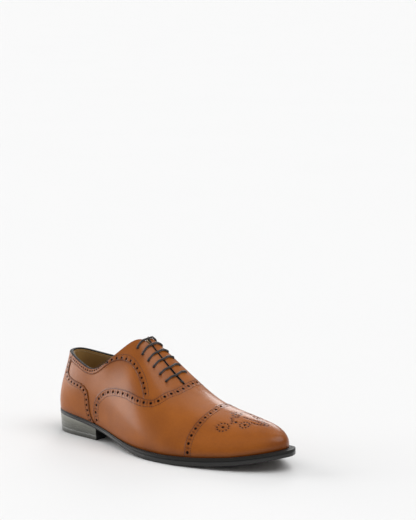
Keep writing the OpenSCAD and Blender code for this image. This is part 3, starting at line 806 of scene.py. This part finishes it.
def make_front_lining():
    rear = shift(over_chart, vamp_edge, -UNDERLAP - 0.3)[1:-1]
    outline = closed_outline(over_chart, rear, [rear[-1], (TOE_U, 1.99)], toe_zip(0.01),
                             [(TOE_U, 0.01), rear[0]])
    make_backing("vamp_backing", "bend", over_chart, outline, zip_a=TOE_U)
    rear = over_both([(8.9, 0.01), (9.2, 0.25), (9.55, 0.6), (9.85, 1)])
    outline = closed_outline(over_chart, rear, [(8.9, 1.99), (TOE_U, 1.99)], toe_zip(0.01),
                             [(TOE_U, 0.01), (8.9, 0.01)])
    make_lining("vamp_lining", "bend", over_chart, outline, zip_a=TOE_U)


# ---- back of the upper ----
def make_side(side):
    chart = SIDE_CHARTS[side]
    under_vamp = shift(chart, curve(chart, VAMP_EDGE), -UNDERLAP)
    facing_edge = curve(chart, FACING_EDGE)
    under_counter = shift(chart, curve(chart, COUNTER_EDGE), UNDERLAP)
    # quarter: between the counter, the vamp and the facing
    top = shift(chart, facing_edge, UNDERLAP)[::-1]
    front = cut_off(under_vamp, 0, 8.05)
    back = under_counter[under_counter[:, 1] < 0.88][::-1]
    outline = closed_outline(chart, [(4.2, LOW), front[0]], front, [front[-1], top[0]], top,
                             [top[-1], back[0]], back, [back[-1], (4.2, LOW)])
    settle(panel("quarter_" + side, chart, outline, [TAN, CUT_EDGE], QUARTER_OUT,
                 QUARTER_THICK), "shoe", "tan_leather", "quarter_" + side)
    # facing: the laced part in front and the strip along the topline
    front = under_vamp[(under_vamp[:, 0] > 8.05) & (under_vamp[:, 1] < 0.97)]
    slit = curve(chart, SLIT_EDGE_LINE)[::-1]
    outline = closed_outline(
        chart, facing_edge, [facing_edge[-1], front[0]], front, [front[-1], slit[0]], slit,
        [slit[-1], (7.05, TOPLINE_B)], [(7.05, TOPLINE_B), (1.8, TOPLINE_B)],
        [(1.8, TOPLINE_B), (1.79, 0.862)], [(1.79, 0.862), facing_edge[0]])
    row = cut_off(shift(chart, facing_edge, FACING_ROW), 5.0, 8.4)
    collar = cut_off(shift(chart, facing_edge, COLLAR_ROWS[0]), 2.0, 4.9)
    holes = row_of_holes(chart, row, *FACING_HOLES) + row_of_holes(chart, collar, *COLLAR_HOLES)
    holes += [(e, EYELET_RADIUS) for e in EYELETS]
    overlay("facing_" + side, "shoe", chart, outline, FACING_OUT, holes,
            [shift(chart, facing_edge, EDGE_ROW), curve(chart, FACING_STITCH),
             cut_off(shift(chart, facing_edge, COLLAR_ROWS[1]), 2.2, 5.3)])
    # backing behind the holes, near-black as painted shade, and the lining
    bores = [(e, BORE_RADIUS) for e in EYELETS]
    front = under_vamp[under_vamp[:, 1] < 0.96][2:]
    outline = closed_outline(
        chart, [(0.01, 0.02), front[0]], front,
        [front[-1], (9.6, 0.975), (8, 0.985), (7, 0.975)], [(7, 0.975), (0.01, 0.975)],
        [(0.01, 0.975), (0.01, 0.02)])
    make_backing("backing_" + side, "shoe", chart, outline, holes=bores)
    outline = closed_outline(
        chart, [(0.005, 0.01), (8.8, 0.01)], [(8.8, 0.01), (9.1, 0.25), (9.45, 0.6), (9.6, 0.965)],
        [(9.6, 0.965), (8.2, 0.96), (7.2, 0.975)], [(7.2, 0.975), (0.005, 0.975)],
        [(0.005, 0.975), (0.005, 0.01)])
    make_lining("quarter_lining_" + side, "shoe", chart, outline, holes=bores)
    seam = curve(chart, [(0.1, LINING_SEAM_B), (7, LINING_SEAM_B)])
    settle(stitches(f"lining_{side}_stitches", chart, [seam], LINING_TOP - LINING_THICK,
                    PALE_THREAD), "shoe", "lining_leather")


def make_counter():
    half = curve(heel_chart, COUNTER_EDGE)
    other = half * [-1, 1]
    outline = closed_outline(heel_chart, half, [half[-1], other[-1]], other[::-1],
                             [other[0], half[0]])
    holes, rows = [], []
    for sign, edge in ((1, half), (-1, other)):
        found = beside(heel_chart, edge, COUNTER_ROWS, COUNTER_HOLES, 4, sign)
        holes, rows = holes + found[0], rows + found[1]
    overlay("heel_counter", "shoe", heel_chart, outline, COUNTER_OUT, holes, rows)


TONGUE_TOP, TONGUE_THICK = -7.3, 2.0
TONGUE_DIP = (4, 18, 2.6)       # from this x to this x, this deep


def make_tongue():
    low, high = 0.77, 1.23
    outline = closed_outline(
        over_chart, [(7.45, low), (8.5, low - 0.03), (9.97, low + 0.03)],
        [(9.97, low + 0.03), (10.07, 1), (9.97, high - 0.03)],
        [(9.97, high - 0.03), (8.5, high + 0.03), (7.45, high)],
        [(7.45, high), (7.2, high - 0.08), (7.12, 1), (7.2, low + 0.08), (7.45, low)])
    tongue = panel("tongue", over_chart, outline, [TAN, LINING], TONGUE_TOP, TONGUE_THICK,
                   roll=0.7, roll_width=1.4, closed=7)
    # the front end dips, clear of the lining that bends down towards it
    start, end, depth = TONGUE_DIP
    for vertex in tongue.data.vertices:
        vertex.co.z -= depth * MM * ramp(vertex.co.x / MM, start, end)
    settle(tongue, "tongue", "tan_leather", "tongue")


# ---- topline binding ----
def make_binding():
    """The dark folded strip along the topline and down both edges of the slit."""
    turn = 7.3
    half = np.concatenate([np.linspace(0, turn, 80)[:-1], np.linspace(turn, 9.7, 40)])
    b = np.interp(half, [0, 7.05, turn, 8.1, 8.8, 9.3, 9.7],
                  [1, 1, 0.999, 0.999, 0.992, 0.988, 0.987])
    slim = ramp(half, 6.9, 7.4)
    wide, tall, middle = 1.6 - 1.05 * slim, 0.66 - 0.21 * slim, -1.45 + 1.45 * slim
    a = np.concatenate([-half[::-1], half[1:]])
    b, wide, tall, middle = (np.concatenate([v[::-1], v[1:]]) for v in (b, wide, tall, middle))
    ab = np.stack([a, b], -1)
    centre, n = place(heel_chart, ab), normals(heel_chart, ab)
    up = unit(np.cross(n, tangents_of(centre)))
    angle = turns(14)
    outward = middle[:, None] + wide[:, None] * np.cos(angle)
    upward = tall[:, None] * (np.sin(angle) - 1)
    rings = centre[:, None] + n[:, None] * outward[..., None] + up[:, None] * upward[..., None]
    settle(sweep("topline_binding", rings, BINDING), "shoe", "binding_leather", "topline_binding")


# ---- lace ----
RAIL_DEPTH = -5.7
LACE_RADIUS, LACE_WEAVE, LACE_STEP = 1.1, 1.6, 0.4      # weave: its pattern's length


def bar(e, to_medial):
    """The lace across the slit between a pair of eyelets, as (u, t, depth)."""
    u, t = e
    half = [(u, t, -2), (u, t + 0.004, 0.9), (u + 0.04, t + 0.03, 1.6),
            (u + 0.12, (1 + t) / 2, 1.9), (u + 0.2, 0.965, 2.4)]
    whole = half + [(LOOP_U - u, t, d) for u, t, d in half[::-1]]
    return whole if to_medial else whole[::-1]


def rail(start, end, side, move):
    """The lace behind a facing from one eyelet to another."""
    (u0, t0), (u1, t1) = start, end
    path = [(u0 + (u1 - u0) * f, t0 + move + (t1 - t0) * f, RAIL_DEPTH) for f in (0.2, 0.5, 0.8)]
    path = [(u0, t0, RAIL_DEPTH + 0.7)] + path + [(u1, t1, RAIL_DEPTH + 0.7)]
    return [(LOOP_U - u, t, d) for u, t, d in path] if side else path


def tail(first, *others):
    """An end of the lace, from behind its eyelet down along the medial lining."""
    return [(*first, RAIL_DEPTH + 0.7)] + [(u, t, RAIL_DEPTH) for u, t in others]


TAIL_UPPER = tail((22.8, 0.84), (22.85, 0.79), (22.9, 0.7), (22.9, 0.6), (22.85, 0.5),
                  (22.7, 0.4), (22.4, 0.32), (22, 0.28), (21.6, 0.26))
TAIL_LOWER = tail((22.3, 0.8), (22.3, 0.76), (22.2, 0.68), (22, 0.6), (21.7, 0.54),
                  (21.4, 0.5), (21.1, 0.48))


def make_lace():
    route, stops = TAIL_LOWER[::-1], [EYELETS[k] for k in (1, 3, 5, 4, 2, 0)]
    for i, stop in enumerate(stops):
        route = route + bar(stop, i % 2)
        if stop != stops[-1]:
            route += rail(stop, stops[i + 1], i % 2, -0.02 if i < 2 else 0.02)
    path = every(spline(skin(*np.array(route + TAIL_UPPER).T), 10), LACE_STEP)
    tangents = tangents_of(path)
    side = unit(np.cross(tangents[0], [0.3, 0.2, 1.0]))
    angle, rings = turns(12)[:, None], []
    for i, (p, tangent) in enumerate(zip(path, tangents)):
        side = unit(side - tangent * (side @ tangent))
        across = np.cross(tangent, side)
        along = 2 * math.pi * i * LACE_STEP / LACE_WEAVE
        weave = 1 + 0.05 * np.cos(6 * angle) * math.cos(along)
        rings.append(p + LACE_RADIUS * weave * (np.cos(angle) * side + np.sin(angle) * across))
    settle(sweep("lace", rings, LACE), "shoe", "lace_cotton", "lace")


TACK_U, TACK_LENGTH, TACK_RADIUS = 9.68, 5.2, 0.33


def make_bar_tack():
    """The star of thread that holds the lower end of the slit."""
    centre = np.array([skin(TACK_U, 1.0, 0.75)])
    n = unit(normals(over_chart, np.array([[TACK_U, 0.97]])) * [1, 0, 1])
    ahead = unit(np.cross(n, [[0, 1, 0]]))
    across = np.cross(n, ahead)
    angles = np.radians([-90, -62, -118, -35, -145, 0])
    ways = np.concatenate([across * math.sin(a) + ahead * math.cos(a) for a in angles])
    lift = np.linspace(0, 0.3, len(ways))[:, None] * n
    settle(beads("bar_tack", centre + lift, ways, n, TACK_LENGTH, TACK_RADIUS, BLACK_THREAD),
           "shoe", "lace_cotton")


# ---- sole and heel ----
def station(values, u):
    return np.interp(folded(np.asarray(u, float)), np.arange(TOE_U + 1), values)


def outline_at(u, share, grow):
    """Plan points out from the wall's foot by share of the welt's ledge, plus grow."""
    u = np.asarray(u, float)
    p, d = wall(u, 0), wall(u + 0.1, 0) - wall(u - 0.1, 0)
    out = unit(np.stack([d[..., 1], -d[..., 0]], -1))
    return p[..., :2] + out * (share * station(WELT_LEDGE, u) + grow)[..., None]


def foot_z(u):
    return wall(u, 0)[..., 2]


def sole_low(u):
    return foot_z(u) - station(EDGE_TALL, u)


def welt_low(u):
    return foot_z(u) - WELT_SHARE * station(EDGE_TALL, u)


def slab(name, share, edge, top, bottom, materials, across=8, bow=0.0, inner=None, side=None,
         stations=np.linspace(0, TOE_U, 8 * TOE_U + 1)):
    """A flat piece of the sole. edge lists (grow, share of the thickness) points down its
    side; top and bottom give z at a station; materials go on the top, side, bottom and open
    end. bow hollows the last row. side and inner make one half only, up to y = inner(x)."""
    f = np.linspace(0, 1, across + 1)[:, None]
    rings = []
    for u in stations:
        z_top, z_low = float(top(u)), float(bottom(u))
        lateral, medial = ([np.append(outline_at(v, share, g), z_top + h * (z_low - z_top))
                            for g, h in edge] for v in (u, LOOP_U - u))
        if inner:
            way, lateral = (-1, lateral) if side == "lateral" else (1, medial)
            medial = [np.array([p[0], way * inner(p[0]) - MIDDLE[1], p[2]]) for p in lateral]
        hollow = bow * (u / stations[-1]) ** 8 * 4 * f * (1 - f) * [1, 0, 0]
        over = lateral[0] * (1 - f) + medial[0] * f - hollow
        under = medial[-1] * (1 - f) + lateral[-1] * f - hollow
        rings.append(np.concatenate([over, medial[1:-1], under, lateral[1:-1][::-1]]))
    n, m, last = len(rings), len(rings[0]), len(materials) - 1
    faces = bands(n, m)
    down = [min(1, last)] * (len(edge) - 1)
    indices = ([0] * across + down + [min(2, last)] * across + down) * (n - 1)
    if np.linalg.norm(rings[-1][0] - rings[-1][across]) > 0.1:      # an open end
        faces.append([(n - 1) * m + k for k in range(m)])
        indices.append(last)
    if inner:
        faces.append(list(range(m))[::-1])
        indices.append(0)
    points = np.concatenate(rings)
    # low is painted shade: darker towards the floor
    values = {"near_edge": np.zeros(len(points)), "low": ramp(points[:, 2], 26, 0)}
    return add_mesh(name, points, faces, materials, indices, values, 40)


ROUNDED = [(-0.5, 0), (-0.12, 0.06), (0, 0.2), (0.1, 0.5), (0, 0.8), (-0.12, 0.94), (-0.5, 1)]
WELT_SHARE = 0.4        # how much of the sole's edge is welt
GAP = 0.02              # between two layers, so that their faces never coincide
INSOLE_UP, INSOLE_DOWN, PAD_UP = 0.7, 1.0, 1.7      # faces above and below the upper's foot
SHANK_ROOM = (-110, -12, 9.2)   # from this x to this x, the cork keeps this far from the middle
WAIST_U = 6.6           # the station where the welt's stitches begin
WELT_PITCH, WELT_LENGTH, WELT_RADIUS = 2.6, 2.2, 0.38       # of those stitches
HEEL_END, HEEL_TOP = 4.42, 24   # the station where the heel ends, and how high its taper goes


def heel_grow(z):
    """The heel tapers in a little towards the floor."""
    return -1.3 * (1 - z / HEEL_TOP)


def make_welt():
    u = np.linspace(0, LOOP_U, 8 * LOOP_U + 1)[:-1]
    tall, z = station(EDGE_TALL, u) * WELT_SHARE, foot_z(u)
    section = [(0, -1.8, -0.3, 0), (0, 0, -0.3, 0), (0.5, 0, -0.25, 0), (1, -0.55, -0.25, 0),
               (1, -0.12, -0.45, 0), (1, 0, -0.8, 0), (1, 0.05, 0.35, -1), (1, -0.25, 0.02, -1),
               (0, -1.8, 0.02, -1)]
    rings = []
    for share, grow, rise, low in section:
        rings.append(np.column_stack([outline_at(u, share, grow), z + rise + low * tall]))
    rings = np.array(rings).transpose(1, 0, 2)
    settle(sweep("welt", rings, WELT, joined_up=True, sharp=35), "bend", "welt_leather",
           "welt_rear", "welt_front")
    # the stitches lie on the ledge from the waist forward
    u = np.linspace(WAIST_U, LOOP_U - WAIST_U, 2000)
    at = every(np.column_stack([outline_at(u, 0.5, 0.35), foot_z(u) - 0.2]), WELT_PITCH, 1)
    settle(beads("welt_stitches", at, tangents_of(at), np.array([[0, 0, 1.0]]), WELT_LENGTH,
                 WELT_RADIUS, BLACK_THREAD), "bend", "welt_leather")


def cork_inner(x):
    """How far from the middle the cork of each side ends."""
    start, end, room = SHANK_ROOM
    return room if start < x < end else 0.05


def make_sole():
    settle(slab("outsole", 1, ROUNDED, lambda u: welt_low(u) - GAP, sole_low,
                [SOLE, SOLE, SOLE_FACE]), "bend", "sole_leather", "outsole_rear", "outsole_front")
    plain = [(-4.3, 0), (-4.2, 0.5), (-4.3, 1)]
    settle(slab("insole", 0, plain, lambda u: foot_z(u) + INSOLE_UP,
                lambda u: foot_z(u) - INSOLE_DOWN, [INSOLE]),
           "bend", "insole_leather", "insole_rear", "insole_front")
    for side in SIDE_CHARTS:
        settle(slab("cork_filler_" + side, 0, [(-1.9, h) for h in (0, 0.5, 1)],
                    lambda u: foot_z(u) - INSOLE_DOWN - GAP, lambda u: welt_low(u) + 0.05,
                    [CORK], stations=np.linspace(0.3, TOE_U - 0.3, 100), across=3,
                    inner=cork_inner, side=side),
               "bend", "cork", "cork_filler_rear", "cork_filler_front")
    settle(slab("heel_pad", 0, [(-6.3, 0), (-5.9, 0.4), (-5.8, 1)],
                lambda u: foot_z(u) + PAD_UP, lambda u: foot_z(u) + INSOLE_UP + GAP, [LINING],
                stations=np.linspace(0, 5.1, 42), bow=-9), "shoe", "lining_leather", "heel_pad")


def make_heel():
    # the open end, the heel's breast, takes the black welt finish, without the painted sheen of the
    # sides
    stacked = ([HEEL, HEEL, HEEL, WELT], "sole_leather")
    for name, z0, z1, (faces, slot) in (
            ("top_piece", 0, 5, ([RUBBER, HEEL, RUBBER], "top_piece_rubber")),
            ("heel_lift_lower", 5, 8, stacked), ("heel_lift_upper", 8, 11, stacked),
            ("heel_wedge", 11, 20, stacked)):
        g0, g1 = heel_grow(z0), heel_grow(z1)
        edge = [(g1 - 0.12, 0), (g1, 0.04), (g0, 0.96), (g0 - 0.12, 1)]
        top = (lambda u: sole_low(u) - GAP) if name == "heel_wedge" else (lambda u: z1)
        layer = slab(name, 1, edge, top, lambda u: z0 + GAP, faces,
                     stations=np.linspace(0, HEEL_END, 54), bow=2.0)
        settle(layer, "shoe", slot, name)


def dress_cad():
    """Finishes for the hidden CAD parts that stay as they are."""
    looks = {"toe_puff": BOARD, "heel_stiffener": BOARD, "shank": STEEL, "heel_nails": BRASS,
             "eyelets_lateral": RING_METAL, "eyelets_medial": RING_METAL, "aglets": TIP_PLASTIC}
    for node, look in looks.items():
        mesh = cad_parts[node].data
        mesh.materials.clear()
        mesh.materials.append(look)


make_vamp()
make_toe_cap()
make_front_lining()
for one_side in SIDE_CHARTS:
    make_side(one_side)
make_counter()
make_tongue()
make_binding()
make_lace()
make_bar_tack()
make_welt()
make_sole()
make_heel()
dress_cad()


# ---- floor, lights and finish ----
FLOOR_REACH, FLOOR_LEVEL = 40.0, -0.0002        # metres
# Soft lights: name, azimuth, elevation, strength and the degrees of sky each fills
LIGHTS = [("left_strip", -80, 4, 3.5, 60), ("back_softbox", 214, 26, 0.66, 24),
          ("back_high", 200, 55, 0.2, 30), ("right_softbox", 100, 60, 1.5, 50),
          ("front_top", 0, 60, 0.1, 50)]
WORLD_LIGHT = 0.43


def add_stage():
    r, level = FLOOR_REACH, FLOOR_LEVEL
    mesh = bpy.data.meshes.new("floor")
    mesh.from_pydata([(-r, -r, level), (r, -r, level), (r, r, level), (-r, r, level)], [],
                     [(0, 1, 2, 3)])
    p = Paint("floor_white", Roughness=0.6, Specular_IOR_Level=0.0)
    p.set("Base Color", p.mix(p.noise(400, 2), (0.8, 0.8, 0.8), (0.81, 0.81, 0.81)))
    mesh.materials.append(p.material)
    add("floor", mesh)


def add_lights():
    for name, azimuth, elevation, strength, spread in LIGHTS:
        data = bpy.data.lights.new(name, "SUN")
        data.energy = strength
        data.angle = math.radians(spread)
        add(name, data).rotation_euler = facing(azimuth, elevation)
    world = bpy.context.scene.world = bpy.data.worlds.new("studio")
    world.use_nodes = True
    background = world.node_tree.nodes["Background"]
    background.inputs["Color"].default_value = colour(1, 1, 1)
    background.inputs["Strength"].default_value = WORLD_LIGHT
    bpy.context.scene.view_settings.view_transform = "Standard"


add_stage()
add_lights()
